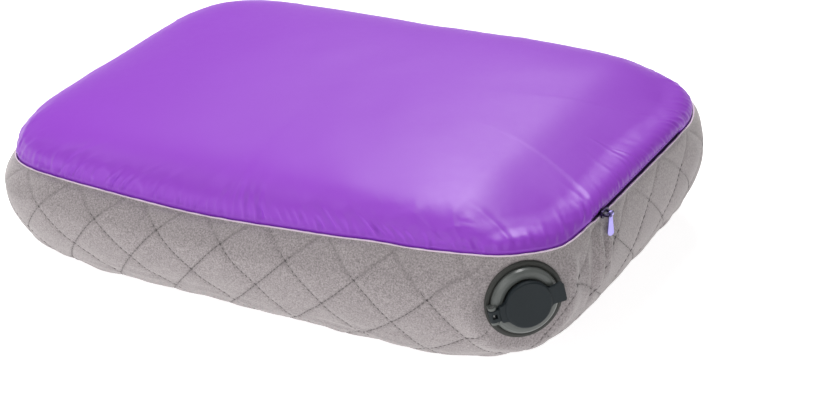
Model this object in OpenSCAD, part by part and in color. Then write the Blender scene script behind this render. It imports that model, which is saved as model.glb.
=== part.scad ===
// Inflatable travel cushion. A crowned nylon top panel and a quilted lower cover are sewn
// together along one side seam, with a concealed zip in the seam at the right-hand end.
// Inside lie a fibre fill pad and a welded air core, whose capped valve stands at the
// front right corner. X is the length, Y the width, Z up, and the cushion rests on Z = 0.

/* [Cushion] */
// Length of the inflated cushion
cushion_l = 380; // [340:5:440]
// Width of the inflated cushion
cushion_w = 280; // [240:5:340]
// Height of the inflated cushion
cushion_h = 97; // [90:1:115]
// Squareness of the plan outline, where 2 is an ellipse
squareness = 5.6; // [5:0.2:7]
// Squareness of the plan outline at the top of the crown
top_squareness = 3.6; // [3.2:0.2:5]
// Squareness of the crown's section above the seam
crown_squareness = 3.5; // [3:0.1:4]
// Height of the seam at mid-length
seam_z = 69; // [66:1:72]
// Rise of the seam from mid-length to the valve end
seam_rise = 5; // [0:1:6]
// Height of the widest level
widest_z = 48; // [44:1:52]
// How far the flat foot stands in from the widest outline
foot_inset = 38; // [30:1:44]
// How far the seam stands in from the widest outline at the ends
seam_inset_x = 3; // [2:0.5:4]
// How far the seam stands in from the widest outline along the front and back
seam_inset_y = 11; // [6:1:14]

/* [Layers] */
// Thickness of the nylon top panel
nylon_t = 0.5; // [0.4:0.1:0.8]
// Thickness of the brushed microfibre face
face_t = 0.9; // [0.6:0.1:0.9]
// Thickness of the quilted wadding
wadding_t = 2.4; // [1.5:0.1:2.4]
// Thickness of the quilt's backing cloth
backing_t = 0.4; // [0.3:0.1:0.5]
// Thickness of the fill pad under the crown
fill_t = 12; // [8:1:14]
// Thickness of the fill pad at its rim
fill_rim_t = 5; // [3:0.5:5]
// Thickness of the air core's film
film_t = 0.6; // [0.4:0.1:0.7]
// Space between the lower cover's outside and the air core's film at the sides
core_inset = 9.5; // [9:0.5:11]

/* [Zip] */
// Length of the zip's chain
zip_l = 124; // [100:2:124]
// Width of the slit between the two fabric edges
slit_w = 1.8; // [1.6:0.1:2]
// Width of each zip tape
zip_tape_w = 5; // [4.5:0.1:5]
// Radius of each coil
coil_r = 0.97; // [0.9:0.01:1]
// Distance from the zip's middle to the closed slider
slider_rest = 50; // [40:1:50]
// Length of the hanging puller
puller_l = 13; // [12:0.5:13]

/* [Valve] */
// Turn of the valve axis from the front towards the right-hand end
valve_yaw = 48; // [44:1:50]
// Tilt of the valve axis above level
valve_pitch = 3; // [0:1:6]
// Turn of the cap's wings in the valve's face
wing_turn = 10; // [0:5:20]
// Radius of the soft collar's lip
collar_r = 22; // [21.5:0.1:22.4]
// Outer radius of the rigid ring
ring_r = 18.85; // [18.5:0.05:18.9]
// Radius of the moat between the ring and the neck
moat_r = 12.6; // [12:0.1:13]
// Inner radius of the neck
bore_r = 7.6; // [7:0.1:8]
// Radius of the cap's disc
cap_r = 13.2; // [12.8:0.1:13.6]
// Distance from the valve's axis to the end of the pull tab
tab_reach = 20.8; // [20:0.2:22]

/* [Hidden] */

nylon_colour = [0.60, 0.30, 0.83];
microfibre_colour = [0.66, 0.63, 0.61];
wadding_colour = [0.93, 0.93, 0.90];
film_colour = [0.82, 0.84, 0.86];
zip_colour = [0.25, 0.14, 0.42];
puller_colour = [0.55, 0.50, 0.85];
valve_colour = [0.17, 0.20, 0.20];
collar_colour = [0.24, 0.24, 0.23];
seal_colour = [0.75, 0.76, 0.74];

half_l = cushion_l / 2;
half_w = cushion_w / 2;
seam_half_l = half_l - seam_inset_x;
seam_half_w = half_w - seam_inset_y;
base_step = 7.5;   // angle between the points of an outline, halved beside the valve
foot_steps = 6;    // levels from the foot up to the widest outline
wall_steps = 3;    // levels from the widest outline up to the seam
crown_steps = 6;   // levels from the seam up to the crown's pole
layer_gap = 0.2;   // air between two layers that lie on each other
cloth_gap = 0.15;  // half the gap between the two panels' edges at the seam
seam_clear = 9;    // distance of the quilt's wadding below the seam
core_drop = 1.5;   // distance of the air core's weld below the seam
core_floor = 4.6;  // height of the air core's film above the floor
core_gap = 0.8;    // space between the fill pad and the air core

// ---- Surfaces -----------------------------------------------------------------------

function signed_pow(v, e) = sign(v) * pow(abs(v), e);
outline_angles = [
    for (k = [0:360 / base_step - 1])
        let (angle = k * base_step)
        each angle >= 292.5 && angle < 345 ? [angle, angle + base_step / 2] : [angle]
];
around = len(outline_angles);

function outline_x(half, angle, square = squareness) = half * signed_pow(cos(angle), 2 / square);
function outline_y(half, angle, square = squareness) = half * signed_pow(sin(angle), 2 / square);
function seam_height(x) = seam_z + seam_rise * x / half_l;

valve_axis = [sin(valve_yaw) * cos(valve_pitch), -cos(valve_yaw) * cos(valve_pitch),
    sin(valve_pitch)];
valve_inset = [19.5, 26.1, 50];  // the valve's place from the right end, the front and the floor
valve_centre = [half_l - valve_inset.x, -half_w + valve_inset.y, valve_inset.z];

// The stiff valve holds the cloth flat: points near it are drawn onto the plane of its
// face, less the depth of the layer, and points beyond that plane are pressed back onto it.
land_r = 28;
land_end_r = 44;
land_depth = 8;
function on_land(point, depth) =
    let (
        offset = point - valve_centre,
        beyond = offset * valve_axis + depth,
        lateral = norm(offset - (offset * valve_axis) * valve_axis),
        near = min(1, max(0, (land_end_r - lateral) / (land_end_r - land_r))),
        shallow = min(1, max(0, 2 + beyond / land_depth)),
        shift = beyond > 0 ? beyond : beyond * near * shallow
    )
    point - shift * valve_axis;

// One level of the lower surface, from the foot at step 0 up to the rim.
function lower_ring(step, inset, floor_z, drop) = [
    for (i = [0:around - 1])
        let (
            angle = outline_angles[around - 1 - i],
            turn = min(90, 90 * step / foot_steps),
            wall_h = seam_height(outline_x(seam_half_l, angle)) - widest_z,
            rise = max(0, (step - foot_steps) / wall_steps) * (wall_h - drop) / wall_h,
            half_x = half_l - inset - foot_inset * (1 - sin(turn)) - seam_inset_x * rise * rise,
            half_y = half_w - inset - foot_inset * (1 - sin(turn)) - seam_inset_y * rise * rise,
            foot_z = floor_z + (widest_z - floor_z) * (1 - cos(turn))
        )
        on_land([outline_x(half_x, angle), outline_y(half_y, angle), foot_z + wall_h * rise],
            inset)
];

// One level of a crown, from its rim at step 0 up to the pole.
function crown_ring(step, half_x, half_y, rise, top_z, depth) = [
    for (i = [0:around - 1])
        let (
            angle = outline_angles[i],
            turn = 90 * step / crown_steps,
            square = squareness + (top_squareness - squareness) * sin(turn),
            shrink = pow(cos(turn), 2 / crown_squareness),
            climb = pow(sin(turn), 2 / crown_squareness),
            rim_z = seam_height(outline_x(half_x, angle)) + rise
        )
        on_land([outline_x(half_x, angle, square) * shrink,
            outline_y(half_y, angle, square) * shrink,
            rim_z + (top_z - rim_z) * climb], depth)
];

// A closed shell between two skins. Each skin is a list of outlines from the rim inwards,
// ending in one pole point.
module shell(outer_rings, outer_pole, inner_rings, inner_pole) {
    levels = len(outer_rings);
    inner_start = levels * around;
    outer_pole_at = 2 * levels * around;
    points = [
        for (ring = outer_rings) each ring,
        for (ring = inner_rings) each ring,
        outer_pole, inner_pole
    ];
    outer_faces = [
        for (k = [0:levels - 2], i = [0:around - 1])
            let (a = k * around + i, b = k * around + (i + 1) % around)
            each [[a, a + around, b + around], [a, b + around, b]]
    ];
    inner_faces = [
        for (face = outer_faces)
            [face[2] + inner_start, face[1] + inner_start, face[0] + inner_start]
    ];
    pole_faces = [
        for (i = [0:around - 1])
            let (a = (levels - 1) * around + i, b = (levels - 1) * around + (i + 1) % around)
            each [[a, outer_pole_at, b], [b + inner_start, outer_pole_at + 1, a + inner_start]]
    ];
    rim_faces = [
        for (i = [0:around - 1])
            let (j = (i + 1) % around)
            each [[i, j, j + inner_start], [i, j + inner_start, i + inner_start]]
    ];
    polyhedron(points, concat(outer_faces, inner_faces, pole_faces, rim_faces), convexity = 6);
}

// A layer of the lower cover, between two depths below its outside.
module lower_layer(outer_inset, inner_inset, outer_floor, inner_floor, drop) {
    top = foot_steps + wall_steps;
    shell(
        [for (k = [0:top]) lower_ring(top - k, outer_inset, outer_floor, drop)],
        [0, 0, outer_floor],
        [for (k = [0:top]) lower_ring(top - k, inner_inset, inner_floor, drop)],
        [0, 0, inner_floor]);
}

// A crowned layer, which starts at a level of the crown whose rim is the seam's outline
// less inset.
module crown_layer(outer_inset, inner_inset, outer_top, inner_top, rise, start = 0) {
    shell(
        [for (k = [start:crown_steps - 1]) crown_ring(k, seam_half_l - outer_inset,
            seam_half_w - outer_inset, rise, outer_top, outer_inset)],
        [0, 0, outer_top],
        [for (k = [start:crown_steps - 1]) crown_ring(k, seam_half_l - inner_inset,
            seam_half_w - inner_inset, rise, inner_top, inner_inset)],
        [0, 0, inner_top]);
}

// ---- Places of the zip and the valve ------------------------------------------------

zip_z = seam_height(seam_half_l);
zip_x = seam_half_l;

module at_zip(y = 0) {
    translate([zip_x, y, zip_z]) children();
}

module at_valve(turn = 0) {
    translate(valve_centre)
        rotate([0, 0, valve_yaw]) rotate([90 - valve_pitch, 0, 0]) rotate([0, 0, turn]) children();
}

port_r = 20.5;     // the port in the cloth, just over the collar's tube
port_depth = 20;   // how far the port's cutter reaches into the cushion
cut_reach = 10;    // how far a cutter stands out of the cushion
slit_depth = 8;    // how far the slit reaches into the seam

// The slit that the zip's slider runs along.
module zip_slit() {
    at_zip() translate([-slit_depth, -zip_l / 2, -slit_w / 2])
        cube([slit_depth + cut_reach, zip_l, slit_w]);
}

// A round port through every layer at the valve, with a flat landing for the collar's lip.
module valve_port(radius) {
    at_valve() translate([0, 0, -port_depth])
        cylinder(r = radius, h = port_depth + cut_reach, $fn = 96);
}

module lip_landing() {
    at_valve() translate([0, 0, 0.05]) cylinder(r = collar_r + 0.5, h = cut_reach, $fn = 96);
}

// ---- Cover and filling --------------------------------------------------------------

module top_panel() {
    color(nylon_colour) difference() {
        crown_layer(0, nylon_t, cushion_h, cushion_h - nylon_t, cloth_gap);
        zip_slit();
        lip_landing();
    }
}

module lower_cover() {
    color(microfibre_colour) difference() {
        lower_layer(0, face_t, 0, face_t, cloth_gap);
        zip_slit();
        valve_port(port_r);
        lip_landing();
    }
}

wadding_inset = face_t + 3 * layer_gap;
backing_inset = wadding_inset + wadding_t + layer_gap;
binding_r = 22.8;  // outer radius of the port's binding
binding_t = 1.2;   // thickness of the port's binding

module quilt_wadding() {
    color(wadding_colour) difference() {
        lower_layer(wadding_inset, wadding_inset + wadding_t,
            wadding_inset, wadding_inset + wadding_t, seam_clear);
        valve_port(binding_r + 0.3);
    }
}

module quilt_backing() {
    color(wadding_colour) difference() {
        lower_layer(backing_inset, backing_inset + backing_t,
            backing_inset, backing_inset + backing_t, seam_clear);
        valve_port(port_r);
    }
}

module fill_pad() {
    fill_inset = nylon_t + layer_gap;
    color(wadding_colour)
        crown_layer(fill_inset, fill_inset + fill_rim_t,
            cushion_h - fill_inset, cushion_h - fill_inset - fill_t, 0, 1);
}

module valve_port_binding() {
    color(microfibre_colour) at_valve() translate([0, 0, -face_t - 2 * layer_gap - binding_t])
        difference() {
            cylinder(r = binding_r, h = binding_t, $fn = 96);
            translate([0, 0, -1]) cylinder(r = port_r, h = binding_t + 2, $fn = 96);
        }
}

// ---- Air core -----------------------------------------------------------------------

module core_upper_film() {
    core_top = cushion_h - nylon_t - layer_gap - fill_t - core_gap;
    color(film_colour)
        crown_layer(core_inset, core_inset + film_t, core_top, core_top - film_t,
            film_t / 2 - core_drop);
}

module core_lower_film() {
    color(film_colour) difference() {
        lower_layer(core_inset, core_inset + film_t,
            core_floor, core_floor + film_t, core_drop);
        valve_port(port_r);
    }
}

// ---- Zip ----------------------------------------------------------------------------

tape_x = -3.5;         // the tapes' outer face, behind the cloth
tape_t = 0.5;
tape_edge = slit_w / 2 - 0.1;
coil_x = tape_x - tape_t - 0.03 - coil_r;
coil_z = 1.65;         // the coils' distance from the zip's middle
chain_l = zip_l - 10;  // the coils, between the stops

module zip_tape(side) {
    low = side > 0 ? tape_edge : -tape_edge - zip_tape_w;
    color(zip_colour) at_zip() translate([tape_x - tape_t, -zip_l / 2, low])
        cube([tape_t, zip_l, zip_tape_w]);
}

module zip_coil(side) {
    color(zip_colour) at_zip() translate([coil_x, chain_l / 2, side * coil_z])
        rotate([90, 0, 0]) cylinder(r = coil_r, h = chain_l, $fn = 24);
}

stop_l = 2.4;
stop_t = 1.9;

module zip_top_stops() {
    color(zip_colour) for (side = [-1, 1])
        at_zip(-chain_l / 2 - 0.1 - stop_l) translate([coil_x - stop_t / 2, 0, side * coil_z - coil_r])
            cube([stop_t, stop_l, 2 * coil_r]);
}

module zip_bottom_stop() {
    color(zip_colour) at_zip(chain_l / 2 + 0.1)
        translate([coil_x - stop_t / 2, 0, -coil_z - coil_r])
            cube([stop_t, stop_l, 2 * (coil_z + coil_r)]);
}

slider_l = 9;
back_x = coil_x - coil_r - 0.15;  // the slider's plate, behind the coils
back_t = 1.1;          // thickness of that plate
flange_t = 0.8;        // thickness of the slider's flanges, above and below the coils
slider_half_h = 3.6;   // half the height of the slider's hidden body
neck_t = 0.9;          // thickness of the neck in the slit
neck_l = 5;            // length of the neck along the slit
saddle_x = 0.45;       // the saddle's inner face, out from the seam
saddle_t = 1;
arm_x = 1.2;           // start of the bail's arms, inside the saddle
bail_x = 4.4;          // the bail's bar, out from the seam
bail_r = 0.55;
bail_half_l = 3.3;

// The slider: a hidden channel round both coils, a neck through the slit, and outside a
// small saddle that carries the bail.
module zip_slider() {
    color(zip_colour) at_zip(-slider_rest) union() {
        translate([back_x - back_t, -slider_l / 2, -slider_half_h])
            cube([back_t, slider_l, 2 * slider_half_h]);
        for (low = [-slider_half_h, slider_half_h - flange_t])
            translate([back_x - 0.1, -slider_l / 2, low])
                cube([tape_x - tape_t - back_x, slider_l, flange_t]);
        translate([back_x - 0.1, -neck_l / 2, -neck_t / 2])
            cube([saddle_x + 0.25 - back_x, neck_l, neck_t]);
        translate([saddle_x, 0, 0]) rotate([0, 90, 0]) slider_saddle();
        for (end = [-1, 1])
            translate([arm_x, end * (bail_half_l - bail_r) - bail_r, -bail_r])
                cube([bail_x - arm_x, 2 * bail_r, 2 * bail_r]);
        translate([bail_x, bail_half_l, 0]) rotate([90, 0, 0])
            cylinder(r = bail_r, h = 2 * bail_half_l, $fn = 24);
    }
}

// A flat oval of length slider_l.
module slider_saddle() {
    saddle_r = 2.2;
    linear_extrude(saddle_t) union() {
        translate([-saddle_r, saddle_r - slider_l / 2])
            square([2 * saddle_r, slider_l - 2 * saddle_r]);
        for (end = [-1, 1])
            translate([0, end * (slider_l / 2 - saddle_r)]) circle(r = saddle_r, $fn = 32);
    }
}

// The puller hangs from the bail: an eye, and a drop-shaped tab twisted a little to the front.
module zip_puller() {
    eye_r = 1.5;
    eye_w = 2.4;
    tab_t = 1;
    tab_w = 3.8;
    tab_twist = -35;
    neck_w = 2;
    color(puller_colour) at_zip(-slider_rest) translate([bail_x, 0, 0]) difference() {
        union() {
            translate([0, eye_w / 2, 0]) rotate([90, 0, 0])
                cylinder(r = eye_r, h = eye_w, $fn = 32);
            rotate([0, 0, tab_twist]) translate([-tab_t / 2, 0, 0]) rotate([90, 0, 90])
                linear_extrude(tab_t) union() {
                polygon([[-neck_w / 2, -0.8], [neck_w / 2, -0.8],
                    [tab_w / 2, tab_w / 2 - puller_l], [-tab_w / 2, tab_w / 2 - puller_l]]);
                translate([0, tab_w / 2 - puller_l]) circle(r = tab_w / 2, $fn = 32);
            }
        }
        translate([0, eye_w, 0]) rotate([90, 0, 0])
            cylinder(r = bail_r + 0.1, h = 2 * eye_w, $fn = 24);
    }
}

// ---- Valve --------------------------------------------------------------------------

collar_tube_r = 20.2;
collar_bore_r = ring_r + 0.15;
collar_back = -core_inset + 0.1;
crest = 5.2;           // top of the rigid ring, above the collar's face
neck_r = 9.6;
body_back = -9.4;      // the seat that the check flap closes against
moat_floor = -6.2;

// Soft collar: a lip outside the cloth, a tube through the port, and a flange that is
// welded to the air core's film.
module valve_collar() {
    color(collar_colour) at_valve() rotate_extrude($fn = 96) polygon([
        [collar_bore_r, collar_back], [23.5, collar_back], [23.5, collar_back + 0.8],
        [collar_tube_r, collar_back + 1.2], [collar_tube_r, 0.15], [collar_r, 0.15],
        [collar_r, 0.8], [collar_r - 0.6, 1.4], [collar_tube_r, 1.7], [collar_bore_r, 1.3]
    ]);
}

hinge_x = -18.9;       // the cap's hinge, on the wings' line
hinge_z = 5;
knuckle_r = 2.7;
knuckle_half_l = 3.4;
lug_t = 1.4;
lug_r = 2.3;
pin_r = 1;
pin_half_l = knuckle_half_l + 0.2 + lug_t;

module along_hinge(radius, half_length) {
    translate([hinge_x, half_length, hinge_z]) rotate([90, 0, 0])
        cylinder(r = radius, h = 2 * half_length, $fn = 48);
}

flap_turn = 90;        // the flap's tail stands across the wings' line, clear of the films
flap_y = 9.6;          // start of the flap's tail, from the valve's axis
button_y = 11.6;
button_r = 0.8;

// Rigid body: a crested ring, a deep moat, and a neck that the cap's plug fits.
module valve_body() {
    color(valve_colour) difference() {
        union() {
            at_valve() rotate_extrude($fn = 96) polygon([
                [ring_r, -9], [ring_r, 2.4], [ring_r - 0.6, 3.9], [ring_r - 1.9, 4.9],
                [ring_r - 3.4, crest], [moat_r + 1.2, crest - 0.2], [moat_r + 0.3, crest - 0.9],
                [moat_r, crest - 1.6], [moat_r, moat_floor], [neck_r, moat_floor],
                [neck_r, 4.9], [bore_r + 0.55, 4.9], [bore_r, 1.4], [bore_r, body_back],
                [9, body_back],
                [9, moat_floor - 1.4], [moat_r + 1.4, moat_floor - 1.4], [moat_r + 1.4, 0.6],
                [ring_r - 1.4, 0.2], [ring_r - 1.4, -9]
            ]);
            at_valve(wing_turn) for (side = [-1, 1])
                hinge_lug(side * (knuckle_half_l + 0.2 + lug_t / 2));
            at_valve(flap_turn) translate([0, button_y, body_back])
                cylinder(r = 1.9, h = moat_floor - 1 - body_back, $fn = 32);
        }
        at_valve(wing_turn) {
            along_hinge(pin_r, pin_half_l + 0.5);
            along_hinge(knuckle_r + 0.25, knuckle_half_l + 0.2);
            translate([hinge_x - knuckle_r - 1, -knuckle_half_l - 0.2, hinge_z])
                cube([2 * knuckle_r + 1.4, 2 * knuckle_half_l + 0.4, 4]);
        }
        at_valve(flap_turn) translate([0, button_y, body_back - 1])
            cylinder(r = button_r, h = 3.2, $fn = 24);
    }
}

// One of the two ears that hold the cap's hinge pin, centred at y.
module hinge_lug(y) {
    translate([0, y, 0]) {
        along_hinge(lug_r, lug_t / 2);
        translate([hinge_x - lug_r + 0.4, -lug_t / 2, 1.9])
            cube([2 * lug_r - 0.4, lug_t, hinge_z - 1.9]);
    }
}

// Guard: a spoked disc in the neck that stops the flap being blown out.
module valve_guard() {
    guard_r = bore_r - 0.05;
    guard_t = 1.2;
    color(valve_colour) at_valve() translate([0, 0, body_back + 0.1]) union() {
        difference() {
            cylinder(r = guard_r, h = guard_t, $fn = 64);
            translate([0, 0, -1]) cylinder(r = guard_r - 1, h = 4, $fn = 64);
        }
        for (turn = [0, 90]) rotate([0, 0, turn])
            translate([0.2 - guard_r, -0.6, 0]) cube([2 * guard_r - 0.4, 1.2, guard_t]);
        cylinder(r = 1.8, h = guard_t, $fn = 32);
    }
}

flap_r = 8.8;
flap_t = 0.58;
flap_top = body_back - 0.02;
tail_half_w = 2;
flap_hinge_gap = 0.6;  // the bending strip between the flap and its tail, left open

// Silicone flap, which air blown in pushes open and the air inside presses shut.
module check_flap() {
    color(seal_colour) at_valve(flap_turn) translate([0, 0, flap_top - flap_t]) union() {
        cylinder(r = flap_r, h = flap_t, $fn = 64);
        translate([-tail_half_w, flap_r - 2, 0])
            cube([2 * tail_half_w, flap_y - flap_hinge_gap - flap_r + 2, flap_t]);
    }
}

module flap_tail() {
    color(seal_colour) at_valve(flap_turn) translate([0, 0, flap_top - flap_t]) difference() {
        translate([-tail_half_w, flap_y, 0]) cube([2 * tail_half_w, 4, flap_t]);
        translate([0, button_y, -1]) cylinder(r = button_r + 0.02, h = 3, $fn = 24);
    }
}

module flap_button() {
    color(valve_colour) at_valve(flap_turn) translate([0, button_y, flap_top - flap_t]) union() {
        translate([0, 0, -0.9]) cylinder(r = 1.8, h = 0.88, $fn = 32);
        translate([0, 0, -0.1]) cylinder(r = button_r - 0.01, h = 2.6, $fn = 24);
    }
}

cap_under = 5.7;       // underside of the cap, clear of the ring's crest
cap_top = 9;
wing_top = 8.3;
wing_half_w = 4.8;
wing_fillet = 3;       // radius where a wing runs into the disc
plug_r = bore_r - 0.3;
seal_z = 1.2;

// Outline of half a wing, from the disc through its fillet to the end at reach.
function wing_side(reach, end_half_w) =
    let (
        centre_y = wing_half_w + wing_fillet,
        centre_x = sqrt(pow(cap_r + wing_fillet, 2) - centre_y * centre_y),
        start = 180 + atan2(centre_y, centre_x)
    )
    [
        [0, 0],
        for (k = [0:6]) let (turn = start + (270 - start) * k / 6)
            [centre_x + wing_fillet * cos(turn), centre_y + wing_fillet * sin(turn)],
        [reach - 1.2, end_half_w], [reach - 0.35, end_half_w - 0.35],
        [reach, end_half_w - 1.2], [reach, 0]
    ];

module wing(reach, end_half_w) {
    side = wing_side(reach, end_half_w);
    mirrored = [for (k = [len(side) - 1:-1:0]) [side[k].x, -side[k].y]];
    polygon(concat(side, mirrored));
}

// Cap: a disc with a hollow plug below it, a pull tab on one side and a hinged wing on the other.
module valve_cap() {
    color(valve_colour) at_valve(wing_turn) difference() {
        union() {
            rotate_extrude($fn = 96) polygon([
                [0, 6], [plug_r - 1.3, 6], [plug_r - 1.3, -0.6],
                [plug_r - 0.35, -0.6], [plug_r, 0.3], [plug_r, seal_z - 0.7], [plug_r - 0.55, seal_z - 0.7],
                [plug_r - 0.55, seal_z + 0.7], [plug_r, seal_z + 0.7], [plug_r, cap_under],
                [cap_r - 0.2, cap_under], [cap_r, cap_under + 0.4], [cap_r, cap_top - 0.8],
                [cap_r - 0.25, cap_top - 0.35], [cap_r - 0.8, cap_top], [0, cap_top]
            ]);
            translate([0, 0, cap_under]) linear_extrude(wing_top - cap_under) difference() {
                union() {
                    wing(tab_reach, wing_half_w + 0.6);
                    rotate([0, 0, 180]) wing(-hinge_x - knuckle_r - 0.1, wing_half_w);
                }
                circle(r = cap_r - 1, $fn = 96);
            }
            along_hinge(knuckle_r, knuckle_half_l);
            translate([hinge_x, -knuckle_half_l, cap_under])
                cube([knuckle_r + 1, 2 * knuckle_half_l, hinge_z + knuckle_r - cap_under]);
        }
        along_hinge(pin_r + 0.06, knuckle_half_l + 1);
        translate([hinge_x - 1.3, -1.3, hinge_z]) cube([2.6, 2.6, 6]);
    }
}

module cap_seal() {
    color(seal_colour) at_valve() translate([0, 0, seal_z]) rotate_extrude($fn = 96)
        translate([bore_r - 0.43, 0]) circle(r = 0.38, $fn = 24);
}

module cap_hinge_pin() {
    color(seal_colour) at_valve(wing_turn) along_hinge(pin_r - 0.01, pin_half_l);
}

// ---- Assembly -----------------------------------------------------------------------

top_panel();
lower_cover();
quilt_wadding();
quilt_backing();
fill_pad();
core_upper_film();
core_lower_film();
valve_port_binding();
zip_tape(1);  // zip_tape_upper
zip_tape(-1);  // zip_tape_lower
zip_coil(1);  // zip_coil_upper
zip_coil(-1);  // zip_coil_lower
zip_top_stops();
zip_bottom_stop();
zip_slider();
zip_puller();
valve_collar();
valve_body();
valve_guard();
check_flap();
flap_tail();
flap_button();
valve_cap();
cap_seal();
cap_hinge_pin();
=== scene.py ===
"""Looks for an inflatable travel cushion: a crowned satin nylon top, a quilted lower cover,
a concealed zip and a capped corner valve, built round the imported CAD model. Lengths in the
shape functions are in millimetres, as in the CAD, and every mesh is scaled to metres."""

import math

import bpy
import numpy as np
from mathutils import Matrix, Vector


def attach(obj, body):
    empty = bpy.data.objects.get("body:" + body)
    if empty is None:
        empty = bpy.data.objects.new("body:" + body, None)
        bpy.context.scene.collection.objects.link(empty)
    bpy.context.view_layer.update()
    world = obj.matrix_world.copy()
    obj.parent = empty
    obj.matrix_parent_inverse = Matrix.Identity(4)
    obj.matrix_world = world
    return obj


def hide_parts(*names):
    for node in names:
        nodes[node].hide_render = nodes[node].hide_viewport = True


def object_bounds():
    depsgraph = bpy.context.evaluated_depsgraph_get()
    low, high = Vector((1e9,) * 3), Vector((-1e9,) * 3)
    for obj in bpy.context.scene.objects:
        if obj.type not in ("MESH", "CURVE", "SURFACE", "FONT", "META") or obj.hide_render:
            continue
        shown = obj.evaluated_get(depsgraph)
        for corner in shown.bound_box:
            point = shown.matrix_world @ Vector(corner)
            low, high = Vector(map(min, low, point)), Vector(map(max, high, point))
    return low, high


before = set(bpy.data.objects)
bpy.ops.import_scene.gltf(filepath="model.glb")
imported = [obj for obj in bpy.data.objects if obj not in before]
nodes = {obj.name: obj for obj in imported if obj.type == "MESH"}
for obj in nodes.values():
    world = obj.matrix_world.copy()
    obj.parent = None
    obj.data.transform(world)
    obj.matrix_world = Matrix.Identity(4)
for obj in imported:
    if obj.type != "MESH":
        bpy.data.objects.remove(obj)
cad_low, cad_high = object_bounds()
MM = 0.001

# ---- Shape --------------------------------------------------------------------------
# The CAD's shape, with a slightly higher and rounder crown.

HALF_L = round(-cad_low[0] / MM, 1)
HALF_W = round(cad_high[1] / MM, 1)
HEIGHT = round(cad_high[2] / MM, 1) + 2.3
# Superellipse exponents of the outline, of the crown's top and of the crown's section.
SQUARENESS, TOP_SQUARENESS, CROWN = 5.6, 3.7, 3.2
SEAM_Z, SEAM_RISE = 69.0, 5.0
WIDEST_Z, FOOT_INSET = 48.0, 38.0
# How far the seam stands in from the widest outline.
INSET_X, INSET_Y = 3.0, 11.0
SEAM_L, SEAM_W = HALF_L - INSET_X, HALF_W - INSET_Y

VALVE_YAW, VALVE_PITCH = math.radians(48), math.radians(3)
VALVE_C = np.array([HALF_L - 19.5, 26.1 - HALF_W, 50.0])
VALVE_N = np.array([math.sin(VALVE_YAW) * math.cos(VALVE_PITCH),
                    -math.cos(VALVE_YAW) * math.cos(VALVE_PITCH),
                    math.sin(VALVE_PITCH)])
PORT_R = 20.5
# The flat land round the valve, the width over which it fades, and its depth.
LAND_R, LAND_FADE, LAND_DEPTH = 44, 19, 12

ZIP_HALF = 62.0
ZIP_END_X = 150       # the zip's end of the cushion lies beyond this
SLIDER_Y = -52


def smooth(t):
    t = np.clip(t, 0.0, 1.0)
    return t * t * (3.0 - 2.0 * t)


def bell(width, *offsets):
    """1 where every offset is 0, fading to 1/e at a distance of width."""
    return np.exp(-sum(offset**2 for offset in offsets) / width**2)


def signed_pow(value, exponent):
    return np.sign(value) * np.abs(value) ** exponent


def wrap(distance, total):
    """The shortest way round a loop of length total, ahead or back."""
    return (distance + total / 2) % total - total / 2


def outline(half_x, half_y, ang, square=SQUARENESS):
    exponent = 2.0 / square
    return half_x * signed_pow(np.cos(ang), exponent), half_y * signed_pow(np.sin(ang), exponent)


def inward_of(ang):
    """Level unit directions that point from the seam into the cushion."""
    way = np.stack([-signed_pow(np.cos(ang), 0.6), -signed_pow(np.sin(ang), 0.6)], -1)
    return way / np.linalg.norm(way, axis=-1, keepdims=True)


def zip_mask(x, y, beyond=1.5, fade=5):
    """1 along the zip, fading to 0 just beyond its ends."""
    return smooth((ZIP_HALF + beyond - np.abs(y)) / fade) * (x > ZIP_END_X)


def seam_height(x, y):
    """The CAD's tilted seam, lifted over the valve, and sagging where the cloth is slack."""
    over_valve = 2.0 * bell(45, x - 158, y + 125)
    left_sag = 2.6 * smooth((-x - 120) / 70)
    middle_sag = 4.1 * bell(68, x + 22)
    right_rise = 1.2 * bell(20, x - 92)
    corner_dip = 3.0 * bell(22, x - 186, np.abs(y) - 84) * (1 - zip_mask(x, y))
    tilted = SEAM_Z + SEAM_RISE * x / HALF_L
    return tilted + over_valve + right_rise - left_sag - middle_sag - corner_dip


def from_valve(points):
    """Distances from the valve's axis, and distances along it."""
    off = points - VALVE_C
    along = off @ VALVE_N
    return np.linalg.norm(off - along[..., None] * VALVE_N, axis=-1), along


def on_land(points):
    """Near the valve the cloth lies on the plane of the valve's face."""
    lateral, along = from_valve(points)
    near = smooth((LAND_R - lateral) / LAND_FADE)
    shallow = smooth((along + LAND_DEPTH) / 8)
    shift = np.where(along > 0, along, along * near * shallow)
    return points - shift[..., None] * VALVE_N


def lower_surface(ang, level):
    """ang along the columns; level 0 at the foot's edge, 1 at the widest, 2 at the seam."""
    turn = np.clip(level, 0, 1) * math.pi / 2
    rise = np.clip(level - 1, 0, 1)
    wall = seam_height(*outline(SEAM_L, SEAM_W, ang)) - WIDEST_Z
    pull = FOOT_INSET * (1 - np.sin(turn))
    x, y = outline(HALF_L - pull - INSET_X * rise**2, HALF_W - pull - INSET_Y * rise**2, ang)
    z = WIDEST_Z * (1 - np.cos(turn)) + wall * rise
    return on_land(np.stack(np.broadcast_arrays(x, y, z), -1))


def crown_surface(ang, turn):
    """turn 0 at the seam and pi/2 at the pole."""
    up = np.clip(np.sin(turn), 0, 1)
    shrink = np.clip(np.cos(turn), 0, 1) ** (2 / CROWN)
    climb = up ** (2 / CROWN)
    rim = seam_height(*outline(SEAM_L, SEAM_W, ang))
    square = SQUARENESS + (TOP_SQUARENESS - SQUARENESS) * up
    x, y = outline(SEAM_L, SEAM_W, ang, square)
    z = rim + (HEIGHT - rim) * climb
    return on_land(np.stack(np.broadcast_arrays(x * shrink, y * shrink, z), -1))


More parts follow.
